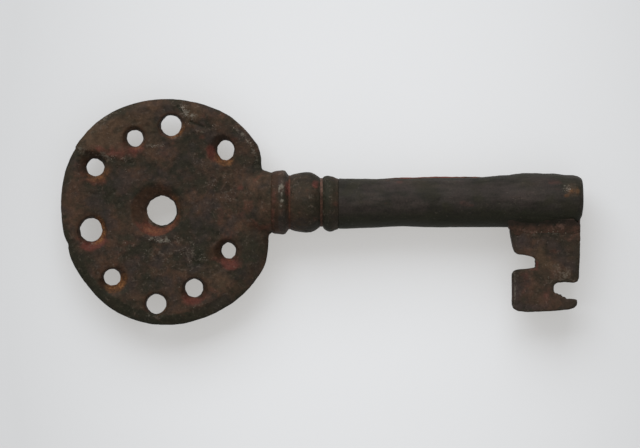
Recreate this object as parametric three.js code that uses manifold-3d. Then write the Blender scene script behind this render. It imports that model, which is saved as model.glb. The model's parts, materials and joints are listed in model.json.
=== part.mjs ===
// A forged iron key with a pierced disc bow, a moulded neck, a hollow shank and a bit with two ward cuts.
//
// It comes apart as a smith would have built it. The bow is one forging with a round tang. Collar, bead
// and ferrule are rings threaded on the tang. The shank is a sheet rolled into a pipe, with its seam closed
// by a strip of copper braze. The bit stands in a slot of the pipe, with braze run round its root.
//
// Working frame: X runs along the shank from the centre of the bow to the mouth, and Y = Z = 0 is the line
// of the shank. The bit points to -Y, and the flat faces of bow and bit look along +Z and -Z. At the end
// the whole key is set down so that the middle of its box is at X = Y = 0 and its lowest point at Z = 0.
// Lengths are in millimetres and angles in degrees.

import * as THREE from "three";
import { mergeVertices } from "three/addons/utils/BufferGeometryUtils.js";
import Module from "manifold-3d";

const wasm = await Module();
wasm.setup();

// Fits
const FIT = 0.15; // play left round a seated piece, which the braze fills on the real key
const BEYOND = 2; // how far a cutter runs past the piece that it cuts
const WELD = 1e-4; // corners nearer to each other than this are one

// Facets
const SIDES = 48; // round the shank, the same on every turned piece so that they nest
const RING_STEPS = 10; // along the outside of a ring
const PIPE_STEPS = 14; // along the pipe
const STEM_STEPS = 6; // along the swelling of the neck
const LIP_STEPS = 3; // round the lip of the mouth
const CORNER_STEPS = 4; // round a rounded corner
const EDGE_STEPS = 2; // across a worn edge

// Bow
const BOW_RADIUS = 22.6;
const BOW_THICKNESS = 3.0;
const BOW_DROP = 1.9; // the bow's centre lies this far below the line of the shank
const RIM_BEVEL_WIDTH = 2.2;
const RIM_BEVEL_DEPTH = 0.75;
const RIM_STEP = 4; // degrees between the points of the rim
const WORN_DEPTH = 1.8; // the rim is hammered and worn flatter opposite the shank
const WORN_AT = 192;
const WORN_SPREAD = 75;
const SWELL_HEIGHT = 0.4; // and stands a little proud above the neck
const SWELL_AT = 53;
const SWELL_SPREAD = 30;

// Neck of the bow, set in from the round of the rim
const UPPER_SHOULDER_SETBACK = 3.5;
const LOWER_SHOULDER_SETBACK = 2.0;
const SHOULDER_ROUND = 1.0;
const COLLAR_SETBACK = 1.5;
const NECK_TOP = 6.5;
const NECK_TOP_AT_COLLAR = 6.0;
const NECK_BOTTOM = 6.4;
const NECK_ROOT = 6.0; // how far the neck runs back into the bow
const STEM_RUN = 9.0; // both faces swell over this length towards the collar
const STEM_HEIGHT = 5.5; // from the line of the shank
const STEM_TURN = 0.45; // the swelling steepens at this share of its length from the collar

// Holes through the bow: angle and distance from its centre, and the radius at the narrow waist
const RIM_HOLES = [
  { angle: 45.9, distance: 17.2, radius: 1.8 },
  { angle: 86.6, distance: 17.2, radius: 2.05 },
  { angle: 112.8, distance: 16.0, radius: 1.7 },
  { angle: 147.7, distance: 16.6, radius: 1.8 },
  { angle: 193.5, distance: 15.4, radius: 2.25 },
  { angle: 230.7, distance: 16.9, radius: 1.7 },
  { angle: 264.2, distance: 18.5, radius: 2.05 },
  { angle: 290.7, distance: 16.3, radius: 1.8 },
  { angle: 328.4, distance: 14.8, radius: 1.45 },
];
const HOLE_FLARE = 0.85; // the holes were punched and opened out with a tapered drift
const HOLE_BACK_FLARE = 0.3;
const HOLE_SIDES = 24;
const CENTRE_HOLE_RADIUS = 3.0;
const CENTRE_HOLE_X = -0.75;
const CENTRE_HOLE_Y = 0.2;
const DISH_FLARE = 2.1; // the middle hole lies in a dish
const DISH_SHIFT = 0.7; // which runs out further away from the shank
const WAIST_SHARE = 0.3; // height of the waist in the thickness, from the back
const CENTRE_HOLE_SIDES = 36;

// Mouldings of the neck, from the bow towards the mouth
const COLLAR_WIDTH = 3.3;
const COLLAR_RADIUS = 6.44;
const COLLAR_EDGE_RADIUS = 6.05;
const NOTCH_WIDTH = 0.8;
const NOTCH_RADIUS = 5.4;
const BEAD_WIDTH = 5.6;
const BEAD_RADIUS = 6.06;
const BEAD_BACK_RADIUS = 5.5;
const BEAD_FRONT_RADIUS = 4.95;
const BEAD_CREST_AT = 2.8;
const GROOVE_WIDTH = 0.8;
const GROOVE_RADIUS = 4.8;
const FERRULE_WIDTH = 2.9;
const FERRULE_RADIUS = 5.66;
const FERRULE_BACK_RADIUS = 5.15;
const FERRULE_CREST_AT = 1.1;
const CREST_FULLNESS = 0.75; // how full a moulding is half way up its side

// Shank pipe
const PIPE_LENGTH = 48.9;
const PIPE_RADIUS = 4.98;
const PIPE_WAIST_RADIUS = 4.82;
const PIPE_WAIST_AT = 14.0;
const MUZZLE_RADIUS = 5.55; // the pipe is swelled where the bit stands in it
const MUZZLE_CREST_BACK = 8.5; // both places are measured back from the mouth
const MUZZLE_START_BACK = 19.0;
const LIP_EDGE_RADIUS = 5.3;
const LIP_ROUND = 1.15;
const BORE_RADIUS = 3.25;
const BORE_CHAMFER = 0.2;
const TANG_GRIP = 12.0; // length of the tang inside the pipe
const TANG_POINT = 1.0;
const SEAM_WIDTH = 0.8;

// Bit. Its reach is measured from the line of the shank, and the two ward cuts from its tip. The inner cut
// opens towards the bow and the outer one towards the mouth, each a little wider there than at its end.
const BIT_LENGTH = 13.9;
const BIT_SETBACK = 0.6; // from the mouth
const BIT_REACH = 21.9;
const BIT_THICKNESS = 4.4;
const BIT_EDGE_WEAR = 0.3;
const BIT_CORNER = 1.2;
const WARD_CORNER = 0.7;
const BIT_LEAN = 0.9; // the edge above the inner cut leans in by this much
const BLOCK_SETBACK = 0.36; // the block below it starts this far in
const INNER_WARD_DEPTH = 5.2;
const INNER_WARD_WIDTH = 2.15;
const INNER_WARD_FROM_TIP = 8.8;
const INNER_WARD_FLARE = 0.6;
const OUTER_WARD_DEPTH = 5.2;
const OUTER_WARD_WIDTH = 2.25;
const OUTER_WARD_FROM_TIP = 3.65;
const OUTER_WARD_FLARE = 1.0;
const OUTER_WARD_STEP = 2.0; // length of the narrow end of the outer cut
const FINGER_SETBACK = 0.6; // the finger below the outer cut is worn short
const FINGER_NOSE = 1.8; // and its lower corner is worn off over this length
const TIP_RISE = 0.45; // the tip rises by this much towards the finger

// Braze round the root of the bit
const FILLET_SPREAD = 1.25;
const FILLET_DROP = 2.3;
const FILLET_LIFT = 1.2;
const FILLET_REACH = 0.55; // how far it stands out behind the bit

// Places along the shank
const COLLAR_X = BOW_RADIUS - COLLAR_SETBACK;
const NOTCH_X = COLLAR_X + COLLAR_WIDTH;
const BEAD_X = NOTCH_X + NOTCH_WIDTH;
const GROOVE_X = BEAD_X + BEAD_WIDTH;
const FERRULE_X = GROOVE_X + GROOVE_WIDTH;
const PIPE_X = FERRULE_X + FERRULE_WIDTH;
const MOUTH_X = PIPE_X + PIPE_LENGTH;
const BIT_END_X = MOUTH_X - BIT_SETBACK;
const BIT_START_X = BIT_END_X - BIT_LENGTH;
const TANG_RADIUS = BORE_RADIUS - FIT;
const HALF_PLATE = BOW_THICKNESS / 2;

// Finishes
const BOW_IRON = { color: 0x3a322c, roughness: 0.72, metalness: 0.55 };
const NECK_IRON = { color: 0x40332b, roughness: 0.68, metalness: 0.6 };
const PIPE_IRON = { color: 0x33302d, roughness: 0.62, metalness: 0.6 };
const BIT_IRON = { color: 0x3f2f28, roughness: 0.74, metalness: 0.5 };
const COPPER_BRAZE = { color: 0x7a3f2a, roughness: 0.6, metalness: 0.7 };

const radians = THREE.MathUtils.degToRad;

// Turns a three.js geometry into a closed solid that can be joined and cut.
function solidOf(geometry) {
  const loose = geometry.index ? geometry.toNonIndexed() : geometry.clone();
  loose.deleteAttribute("normal");
  loose.deleteAttribute("uv");
  const merged = mergeVertices(loose, WELD);
  const corners = merged.index.array;
  const kept = [];
  for (let i = 0; i < corners.length; i += 3) {
    const [a, b, c] = corners.slice(i, i + 3);
    if (a !== b && b !== c && c !== a) kept.push(a, b, c);
  }
  const vertProperties = merged.attributes.position.array;
  const triVerts = new Uint32Array(kept);
  return new wasm.Manifold(new wasm.Mesh({ numProp: 3, vertProperties, triVerts }));
}

// And back into a geometry with flat facets.
function geometryOf(solid) {
  const mesh = solid.getMesh();
  const geometry = new THREE.BufferGeometry();
  geometry.setAttribute("position", new THREE.BufferAttribute(mesh.vertProperties, 3));
  geometry.setIndex(new THREE.BufferAttribute(mesh.triVerts, 1));
  const faceted = geometry.toNonIndexed();
  faceted.computeVertexNormals();
  return faceted;
}

// One named piece of the key.
function piece(name, solid, finish) {
  const mesh = new THREE.Mesh(geometryOf(solid), new THREE.MeshStandardMaterial(finish));
  mesh.name = name;
  return mesh;
}

// A solid turned about the line of the shank, from a closed profile of [x, radius] points.
function turned(profile) {
  const points = profile.map(([x, radius]) => new THREE.Vector2(radius, x));
  const closed = [...points, points[0]];
  return solidOf(new THREE.LatheGeometry(closed, SIDES).rotateZ(-Math.PI / 2));
}

function block(xLow, xHigh, yLow, yHigh, zLow, zHigh) {
  const box = new THREE.BoxGeometry(xHigh - xLow, yHigh - yLow, zHigh - zLow);
  return solidOf(box.translate((xLow + xHigh) / 2, (yLow + yHigh) / 2, (zLow + zHigh) / 2));
}

// A closed outline through [x, y, rounding] corners, each cut back by its rounding on both sides.
function roundedOutline(corners) {
  const shape = new THREE.Shape();
  corners.forEach(([x, y, rounding], i) => {
    const corner = new THREE.Vector2(x, y);
    const [before, after] = [corners.at(i - 1), corners[(i + 1) % corners.length]].map((other) =>
      new THREE.Vector2(other[0], other[1]).sub(corner).setLength(rounding).add(corner),
    );
    if (i === 0) shape.moveTo(before.x, before.y);
    else shape.lineTo(before.x, before.y);
    if (rounding > 0) shape.quadraticCurveTo(x, y, after.x, after.y);
  });
  shape.closePath();
  return shape;
}

// A plate of an outline, centred on Z = 0, with both rims bevelled inwards from the outline.
function plate(outline, thickness, bevelWidth, bevelDepth) {
  const geometry = new THREE.ExtrudeGeometry(outline, {
    depth: thickness - 2 * bevelDepth,
    bevelEnabled: bevelDepth > 0,
    bevelThickness: bevelDepth,
    bevelSize: bevelWidth,
    bevelOffset: -bevelWidth,
    bevelSegments: EDGE_STEPS,
    curveSegments: CORNER_STEPS,
    steps: 1,
  });
  return solidOf(geometry.translate(0, 0, bevelDepth - thickness / 2));
}

// The radius of the rim at an angle: a circle, worn flatter in one place and proud in another.
function rimRadius(angle) {
  const hump = (at, spread) => {
    const away = Math.abs(angle - at) / spread;
    return away < 1 ? Math.cos((away * Math.PI) / 2) ** 2 : 0;
  };
  return BOW_RADIUS - WORN_DEPTH * hump(WORN_AT, WORN_SPREAD) + SWELL_HEIGHT * hump(SWELL_AT, SWELL_SPREAD);
}

// The outline of the bow, round the rim from the upper to the lower shoulder. The upright edges of the
// shoulders stand at two distances from the centre, and the step between them is hidden in the neck.
function bowOutline() {
  const upperX = BOW_RADIUS - UPPER_SHOULDER_SETBACK;
  const lowerX = BOW_RADIUS - LOWER_SHOULDER_SETBACK;
  const upperAngle = THREE.MathUtils.radToDeg(Math.acos(upperX / (BOW_RADIUS + SWELL_HEIGHT / 2)));
  const lowerAngle = 360 - THREE.MathUtils.radToDeg(Math.acos(lowerX / BOW_RADIUS));
  const steps = Math.round((lowerAngle - upperAngle) / RIM_STEP);
  const rim = [];
  for (let i = 1; i < steps; i += 1) {
    const angle = upperAngle + ((lowerAngle - upperAngle) * i) / steps;
    const radius = rimRadius(angle);
    rim.push([radius * Math.cos(radians(angle)), radius * Math.sin(radians(angle)), 0]);
  }
  const upperY = BOW_RADIUS * Math.sin(radians(upperAngle));
  const lowerY = BOW_RADIUS * Math.sin(radians(lowerAngle));
  return roundedOutline([
    [lowerX, lowerY, SHOULDER_ROUND],
    [lowerX, BOW_DROP - NECK_BOTTOM / 2, 0],
    [upperX, BOW_DROP + NECK_TOP / 2, 0],
    [upperX, upperY, SHOULDER_ROUND],
    ...rim,
  ]);
}

// A drifted hole: a waist near the back, opening towards both faces. The front may open off centre.
function drift(x, y, radius, flare, backFlare, shift, sides) {
  const waist = HALF_PLATE * (2 * WAIST_SHARE - 1);
  const frontSlope = flare / (HALF_PLATE - waist);
  const backSlope = backFlare / (HALF_PLATE + waist);
  const top = HALF_PLATE + BEYOND;
  const bottom = -HALF_PLATE - BEYOND;
  const profile = [
    [0, bottom],
    [radius + backSlope * (waist - bottom), bottom],
    [radius, waist],
    [radius + frontSlope * (top - waist), top],
    [0, top],
  ];
  const lean = -shift / (HALF_PLATE - waist);
  const points = profile.map(([r, z]) => new THREE.Vector2(r, z));
  const cutter = new THREE.LatheGeometry(points, sides).rotateX(Math.PI / 2);
  const places = cutter.attributes.position;
  for (let i = 0; i < places.count; i += 1) {
    const above = Math.max(0, places.getZ(i) - waist);
    places.setX(i, places.getX(i) + lean * above);
  }
  return solidOf(cutter.translate(x, y, 0));
}

// The swelling of both faces towards the collar: a wedge with hollow sides, rounded to an oval where it
// meets the rings.
function makeStem() {
  const start = COLLAR_X - STEM_RUN;
  const turn = COLLAR_X - STEM_RUN * STEM_TURN;
  const side = new THREE.Shape();
  side.moveTo(start, -HALF_PLATE);
  side.lineTo(start, HALF_PLATE);
  side.quadraticCurveTo(turn, HALF_PLATE, COLLAR_X, STEM_HEIGHT);
  side.lineTo(COLLAR_X, -STEM_HEIGHT);
  side.quadraticCurveTo(turn, -HALF_PLATE, start, -HALF_PLATE);
  const length = 2 * NECK_TOP;
  const settings = { depth: length, bevelEnabled: false, curveSegments: STEM_STEPS, steps: 1 };
  const sheet = new THREE.ExtrudeGeometry(side, settings);
  const wedge = solidOf(sheet.rotateX(Math.PI / 2).translate(0, length / 2, 0));
  const rod = turned([
    [start - BEYOND, 0],
    [start - BEYOND, NECK_TOP_AT_COLLAR],
    [COLLAR_X, NECK_TOP_AT_COLLAR],
    [COLLAR_X, 0],
  ]);
  return wedge.intersect(rod.scale([1, 1, STEM_HEIGHT / NECK_TOP_AT_COLLAR]));
}

// The bow: a plate with drifted holes, and a neck that carries the stem and the tang.
function makeBow() {
  const disc = plate(bowOutline(), BOW_THICKNESS, RIM_BEVEL_WIDTH, RIM_BEVEL_DEPTH);
  const neck = roundedOutline([
    [COLLAR_X - NECK_ROOT, -NECK_BOTTOM, 0],
    [COLLAR_X, -NECK_BOTTOM, 0],
    [COLLAR_X, NECK_TOP_AT_COLLAR, 0],
    [BOW_RADIUS - UPPER_SHOULDER_SETBACK, NECK_TOP, 0],
    [COLLAR_X - NECK_ROOT, NECK_TOP, 0],
  ]);
  const tangEnd = PIPE_X + TANG_GRIP;
  const tang = turned([
    [COLLAR_X - NECK_ROOT, 0],
    [COLLAR_X - NECK_ROOT, HALF_PLATE / 2],
    [COLLAR_X, HALF_PLATE],
    [COLLAR_X, TANG_RADIUS],
    [tangEnd - TANG_POINT, TANG_RADIUS],
    [tangEnd, TANG_RADIUS - TANG_POINT],
    [tangEnd, 0],
  ]);
  let bow = disc.translate([0, -BOW_DROP, 0]).add(plate(neck, BOW_THICKNESS, 0, 0)).add(makeStem()).add(tang);
  for (const hole of RIM_HOLES) {
    const x = hole.distance * Math.cos(radians(hole.angle));
    const y = hole.distance * Math.sin(radians(hole.angle)) - BOW_DROP;
    bow = bow.subtract(drift(x, y, hole.radius, HOLE_FLARE, HOLE_BACK_FLARE, 0, HOLE_SIDES));
  }
  const middle = [CENTRE_HOLE_X, CENTRE_HOLE_Y - BOW_DROP];
  return bow.subtract(
    drift(...middle, CENTRE_HOLE_RADIUS, DISH_FLARE, HOLE_BACK_FLARE, DISH_SHIFT, CENTRE_HOLE_SIDES),
  );
}

// A ring on the tang, with a rounded outside that runs from one radius over a crest to another.
function ring(x, width, backRadius, crestRadius, crestAt, frontRadius) {
  const side = (from, to) => from + (to - from) * CREST_FULLNESS;
  const curve = new THREE.SplineCurve([
    new THREE.Vector2(x, backRadius),
    new THREE.Vector2(x + crestAt / 2, side(backRadius, crestRadius)),
    new THREE.Vector2(x + crestAt, crestRadius),
    new THREE.Vector2(x + (crestAt + width) / 2, side(frontRadius, crestRadius)),
    new THREE.Vector2(x + width, frontRadius),
  ]);
  const outside = curve.getPoints(RING_STEPS).map((point) => [point.x, point.y]);
  return turned([...outside, [x + width, BORE_RADIUS], [x, BORE_RADIUS]]);
}

// The pipe before it is slit: its outside, grown by a clearance, round a bore of any radius.
function pipeOutside(clearance) {
  const curve = new THREE.SplineCurve([
    new THREE.Vector2(PIPE_X, PIPE_RADIUS),
    new THREE.Vector2(PIPE_X + PIPE_WAIST_AT, PIPE_WAIST_RADIUS),
    new THREE.Vector2(MOUTH_X - MUZZLE_START_BACK, PIPE_RADIUS),
    new THREE.Vector2(MOUTH_X - MUZZLE_CREST_BACK, MUZZLE_RADIUS),
    new THREE.Vector2(MOUTH_X - LIP_ROUND, LIP_EDGE_RADIUS),
  ]);
  const outside = curve.getPoints(PIPE_STEPS).map((point) => [point.x, point.y + clearance]);
  for (let i = 1; i <= LIP_STEPS; i += 1) {
    const angle = radians((90 * i) / LIP_STEPS);
    outside.push([
      MOUTH_X - LIP_ROUND * (1 - Math.sin(angle)) + clearance,
      LIP_EDGE_RADIUS - LIP_ROUND * (1 - Math.cos(angle)) + clearance,
    ]);
  }
  return outside;
}

function makePipeBlank() {
  return turned([
    ...pipeOutside(0),
    [MOUTH_X, BORE_RADIUS + BORE_CHAMFER],
    [MOUTH_X - BORE_CHAMFER, BORE_RADIUS],
    [PIPE_X, BORE_RADIUS],
  ]);
}

// The gap between the two rolled edges of the sheet, on the side away from the bit.
function seamSlab() {
  return block(PIPE_X - BEYOND, MOUTH_X + BEYOND, 0, MUZZLE_RADIUS + BEYOND, -SEAM_WIDTH / 2, SEAM_WIDTH / 2);
}

function makePipe(blank) {
  const half = BIT_THICKNESS / 2 + FIT;
  const slot = block(BIT_START_X - FIT, MOUTH_X + BEYOND, -MUZZLE_RADIUS - BEYOND, 0, -half, half);
  return blank.subtract(seamSlab()).subtract(slot);
}

// The outline of the bit, from its root inside the pipe down to the tip and back.
function bitOutline() {
  const tip = -BIT_REACH;
  const innerLow = tip + INNER_WARD_FROM_TIP;
  const innerHigh = innerLow + INNER_WARD_WIDTH;
  const innerEnd = BIT_START_X + INNER_WARD_DEPTH;
  const outerLow = tip + OUTER_WARD_FROM_TIP;
  const outerHigh = outerLow + OUTER_WARD_WIDTH;
  const outerEnd = BIT_END_X - OUTER_WARD_DEPTH;
  const outerSill = outerLow - OUTER_WARD_FLARE;
  const blockStart = BIT_START_X + BLOCK_SETBACK;
  const fingerEnd = BIT_END_X - FINGER_SETBACK;
  return roundedOutline([
    [BIT_START_X, 0, WARD_CORNER],
    [BIT_START_X, -PIPE_RADIUS, WARD_CORNER],
    [BIT_START_X + BIT_LEAN, innerHigh + INNER_WARD_FLARE, BIT_CORNER],
    [innerEnd, innerHigh, BIT_CORNER],
    [innerEnd, innerLow, FIT],
    [blockStart, innerLow - INNER_WARD_FLARE / 2, WARD_CORNER],
    [blockStart, tip + FIT, BIT_CORNER],
    [(BIT_START_X + BIT_END_X) / 2, tip, BIT_CORNER],
    [fingerEnd - FINGER_NOSE, tip + TIP_RISE, WARD_CORNER],
    [fingerEnd, tip + 2 * TIP_RISE, WARD_CORNER],
    [fingerEnd, outerSill, WARD_CORNER],
    [outerEnd + OUTER_WARD_STEP, outerSill, WARD_CORNER],
    [outerEnd + OUTER_WARD_STEP / 2, outerLow, FIT],
    [outerEnd, outerLow, FIT],
    [outerEnd, outerHigh, WARD_CORNER],
    [BIT_END_X, outerHigh, WARD_CORNER],
    [BIT_END_X, 0, WARD_CORNER],
  ]);
}

// The bit, with its root hollowed to the bore when the pipe is drilled.
function makeBit() {
  const blade = plate(bitOutline(), BIT_THICKNESS, BIT_EDGE_WEAR, BIT_EDGE_WEAR);
  const drill = turned([
    [BIT_START_X - BEYOND, 0],
    [BIT_START_X - BEYOND, BORE_RADIUS],
    [MOUTH_X + BEYOND, BORE_RADIUS],
    [MOUTH_X + BEYOND, 0],
  ]);
  return blade.subtract(drill);
}

// The braze round the root of the bit: a skirt that leans out to the pipe, open at the mouth.
function makeBitBraze() {
  const low = -PIPE_RADIUS - FILLET_DROP;
  const rootHalf = BIT_THICKNESS / 2;
  const start = BIT_START_X + FILLET_SPREAD - FILLET_REACH;
  const plan = new THREE.Shape();
  plan.moveTo(start, -rootHalf);
  plan.lineTo(BIT_END_X + BEYOND, -rootHalf);
  plan.lineTo(BIT_END_X + BEYOND, rootHalf);
  plan.lineTo(start, rootHalf);
  const skirt = new THREE.ExtrudeGeometry(plan, {
    depth: FILLET_LIFT,
    bevelEnabled: true,
    bevelThickness: FILLET_DROP,
    bevelSize: FILLET_SPREAD,
    bevelSegments: 1,
    steps: 1,
  });
  const leaning = solidOf(skirt.rotateX(-Math.PI / 2).translate(0, low + FILLET_DROP, 0));
  const half = rootHalf + FIT;
  const gap = block(BIT_START_X - FIT, MOUTH_X + BEYOND * 2, low - BEYOND, 0, -half, half);
  const room = turned([...pipeOutside(FIT), [MOUTH_X + FIT, 0], [PIPE_X, 0]]);
  const pastEnd = block(BIT_END_X, MOUTH_X + BEYOND * 3, low - BEYOND, BEYOND, -PIPE_RADIUS, PIPE_RADIUS);
  return leaning.subtract(room).subtract(gap).subtract(pastEnd);
}

const pipeBlank = makePipeBlank();
const key = new THREE.Group();
key.add(
  piece("bow_disc", makeBow(), BOW_IRON),
  piece(
    "neck_collar",
    ring(COLLAR_X, COLLAR_WIDTH, COLLAR_EDGE_RADIUS, COLLAR_RADIUS, COLLAR_WIDTH / 2, COLLAR_EDGE_RADIUS),
    NECK_IRON,
  ),
  piece(
    "collar_braze",
    ring(NOTCH_X, NOTCH_WIDTH, NOTCH_RADIUS, NOTCH_RADIUS, NOTCH_WIDTH / 2, NOTCH_RADIUS),
    COPPER_BRAZE,
  ),
  piece(
    "neck_bead",
    ring(BEAD_X, BEAD_WIDTH, BEAD_BACK_RADIUS, BEAD_RADIUS, BEAD_CREST_AT, BEAD_FRONT_RADIUS),
    NECK_IRON,
  ),
  piece(
    "bead_braze",
    ring(GROOVE_X, GROOVE_WIDTH, GROOVE_RADIUS, GROOVE_RADIUS, GROOVE_WIDTH / 2, GROOVE_RADIUS),
    COPPER_BRAZE,
  ),
  piece(
    "pipe_ferrule",
    ring(FERRULE_X, FERRULE_WIDTH, FERRULE_BACK_RADIUS, FERRULE_RADIUS, FERRULE_CREST_AT, PIPE_RADIUS),
    NECK_IRON,
  ),
  piece("shank_pipe", makePipe(pipeBlank), PIPE_IRON),
  piece("seam_braze", pipeBlank.intersect(seamSlab()), COPPER_BRAZE),
  piece("bit", makeBit(), BIT_IRON),
  piece("bit_braze", makeBitBraze(), COPPER_BRAZE),
);

// Sets the key down on its lowest point, with the middle of its box over the origin.
const extent = new THREE.Box3().setFromObject(key);
const middle = extent.getCenter(new THREE.Vector3());
key.position.set(-middle.x, -middle.y, -extent.min.z);

export default key;
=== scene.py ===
# %% [markdown]
# # A forged iron key with a pierced disc bow
# A smith made this key from four kinds of pieces: a flat round bow pierced with ten holes, rings threaded on
# its tang, a shank rolled from sheet, and a bit let into a slot of the shank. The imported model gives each
# piece its true size and place. This lesson gives each one its forged surface and the skin of old iron.

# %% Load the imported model
import json
import math
from collections import namedtuple

import bmesh
import bpy
import numpy as np
from mathutils import Matrix, Vector, noise


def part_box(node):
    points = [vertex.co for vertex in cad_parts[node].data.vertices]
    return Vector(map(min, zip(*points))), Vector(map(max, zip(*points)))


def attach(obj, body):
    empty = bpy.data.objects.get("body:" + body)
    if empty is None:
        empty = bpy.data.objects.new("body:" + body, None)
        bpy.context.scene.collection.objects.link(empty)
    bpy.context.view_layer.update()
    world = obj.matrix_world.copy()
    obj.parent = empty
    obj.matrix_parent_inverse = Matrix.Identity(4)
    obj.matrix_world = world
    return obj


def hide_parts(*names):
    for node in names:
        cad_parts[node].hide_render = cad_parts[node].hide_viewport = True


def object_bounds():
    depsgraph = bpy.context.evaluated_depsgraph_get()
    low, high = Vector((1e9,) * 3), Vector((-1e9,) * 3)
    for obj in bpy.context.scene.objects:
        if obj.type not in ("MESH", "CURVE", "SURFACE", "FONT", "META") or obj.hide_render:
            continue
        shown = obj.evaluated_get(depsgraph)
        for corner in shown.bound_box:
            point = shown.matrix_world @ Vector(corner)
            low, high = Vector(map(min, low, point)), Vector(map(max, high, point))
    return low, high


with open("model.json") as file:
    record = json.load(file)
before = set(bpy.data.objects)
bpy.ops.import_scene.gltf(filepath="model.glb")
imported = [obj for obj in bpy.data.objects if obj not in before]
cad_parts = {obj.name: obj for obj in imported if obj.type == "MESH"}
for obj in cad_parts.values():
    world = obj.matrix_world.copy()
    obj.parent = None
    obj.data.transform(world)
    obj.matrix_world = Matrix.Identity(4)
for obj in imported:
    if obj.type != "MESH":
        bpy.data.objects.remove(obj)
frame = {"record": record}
cad_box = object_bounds()
slots = {part["node"]: part["material_slot"] for part in frame["record"]["subparts"]}
print("pieces in the frame:", ", ".join(sorted(slots)))

# %% [markdown]
# ## One working frame
# A smith measures along the shank and out from its line, so the pieces are modelled that way: in
# millimetres, with X from the middle of the bow towards the mouth, and Y and Z from the line of the shank.
# The frame says where that line lies, and every finished mesh is moved there.

# %% Working frame
MM = 0.001
MOUTH_X = 83.4  # from the middle of the bow to the mouth of the pipe
collar_low, collar_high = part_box("neck_collar")
axis = (collar_low + collar_high) / 2
ORIGIN = Vector((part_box("shank_pipe")[1].x - MOUTH_X * MM, axis.y, axis.z))
LOWEST, HIGHEST = [np.array((corner - ORIGIN) / MM) for corner in cad_box]
print("line of the shank at", [round(c / MM, 3) for c in ORIGIN], "mm")


def span(node):
    """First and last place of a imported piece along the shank, in millimetres."""
    low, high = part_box(node)
    return (low.x - ORIGIN.x) / MM, (high.x - ORIGIN.x) / MM


# %% [markdown]
# ## From a rough solid to a forged one
# Forged iron has no straight facet left on it. Each piece starts as a plain bmesh solid. A voxel remesh then
# covers it with an even net of small squares, which joins overlapping parts into one skin, and every corner
# of the net can be pushed in or out along its normal. That is how the hammer marks, pits and worn edges get
# real depth. A picture laid on the surface would be quicker, but it would look flat at the rim.

# %% Rough solids
VOXEL = 0.21  # size of the net's squares
BOW_VOXEL = 0.23
HALF_PLATE = 1.5  # half the thickness of the bow's plate


def new_verts(made):
    return [part for part in made["geom"] if isinstance(part, bmesh.types.BMVert)]


def slab(solid, corners, low, high):
    """A plate with this outline, standing between two heights."""
    outline = [solid.verts.new((x, y, low)) for x, y in corners]
    made = bmesh.ops.extrude_face_region(solid, geom=[solid.faces.new(outline)])
    top = new_verts(made)
    bmesh.ops.translate(solid, verts=top, vec=(0, 0, high - low))
    bmesh.ops.recalc_face_normals(solid, faces=solid.faces)
    return outline + top


def turned(solid, profile, steps=144):
    """A solid turned round the line of the shank, from a profile of (x, radius) points."""
    points = [solid.verts.new((x, radius, 0)) for x, radius in profile]
    edges = [solid.edges.new(pair) for pair in zip(points, points[1:])]
    if profile[0][1] > 0:
        edges.append(solid.edges.new((points[-1], points[0])))
    turn = {"cent": (0, 0, 0), "axis": (1, 0, 0), "angle": 2 * math.pi}
    bmesh.ops.spin(solid, geom=points + edges, steps=steps, use_merge=True, **turn)
    bmesh.ops.remove_doubles(solid, verts=solid.verts, dist=1e-4)
    bmesh.ops.recalc_face_normals(solid, faces=solid.faces)


def rod(back, front, radius):
    """The profile of a plain rod."""
    return [(back, 0), (back, radius), (front, radius), (front, 0)]


def add_solid(solid, other):
    """Puts a second solid into the first one's bmesh."""
    carried = bpy.data.meshes.new("carried")
    other.to_mesh(carried)
    other.free()
    solid.from_mesh(carried)
    bpy.data.meshes.remove(carried)


def add_object(name, data):
    made = bpy.data.objects.new(name, data)
    bpy.context.scene.collection.objects.link(made)
    return made


def as_piece(name, solid):
    mesh = bpy.data.meshes.new(name)
    solid.to_mesh(mesh)
    solid.free()
    return add_object(name, mesh)


def apply_modifier(piece, kind, **settings):
    """Keeps what one modifier makes as the piece's own mesh, so that no live modifier is left on it."""
    modifier = piece.modifiers.new(kind.lower(), kind)
    for setting, value in settings.items():
        setattr(modifier, setting, value)
    graph = bpy.context.evaluated_depsgraph_get()
    piece.data = bpy.data.meshes.new_from_object(piece.evaluated_get(graph))
    piece.modifiers.clear()


def cut(piece, cutter_solid):
    cutter = as_piece("cutter", cutter_solid)
    apply_modifier(piece, "BOOLEAN", operation="DIFFERENCE", solver="EXACT", object=cutter)
    bpy.data.objects.remove(cutter)


def cut_rod(piece, back, front, radius):
    """Cuts a round rod out of a piece."""
    cutter = bmesh.new()
    turned(cutter, rod(back, front, radius))
    cut(piece, cutter)


def cut_slab(piece, corners, half):
    """Cuts a slab with this outline out of a piece, down to `half` on both sides."""
    cutter = bmesh.new()
    slab(cutter, corners, -half, half)
    cut(piece, cutter)


# %% Noise and spots on points
def ramp(values, low, high):
    """0 below the low value, 1 above the high one, and smooth between."""
    share = np.clip((values - low) / (high - low), 0, 1)
    return share * share * (3 - 2 * share)


def bell(values, middle, width):
    """A smooth bump of height 1 round one value."""
    return np.exp(-(((values - middle) / width) ** 2))


def grain(points, size, seed, octaves=3):
    """A smooth random value at every point, mostly between -1 and 1, in lumps about `size` mm wide."""
    start = Vector((17.3, 5.1, 9.7)) * seed
    return np.array([noise.fractal(Vector(p) + start, 1.0, 2.0, octaves) for p in points / size])


def spots(points, table):
    """Soft spots on the upper side, each from its middle, its two half widths and its strength."""
    total = np.zeros(len(points))
    for x, y, wide, tall, strength in table:
        total += strength * bell(points[:, 0], x, wide) * bell(points[:, 1], y, tall)
    return total * ramp(points[:, 2], -0.5, 0.5)


def off_line(points, start, end):
    """Distance on the flat from a straight line between two places."""
    run = np.subtract(end, start)
    away = points[:, :2] - start
    share = np.clip(away @ run / (run @ run), 0, 1)
    return np.linalg.norm(away - share[:, None] * run, axis=1)


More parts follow.
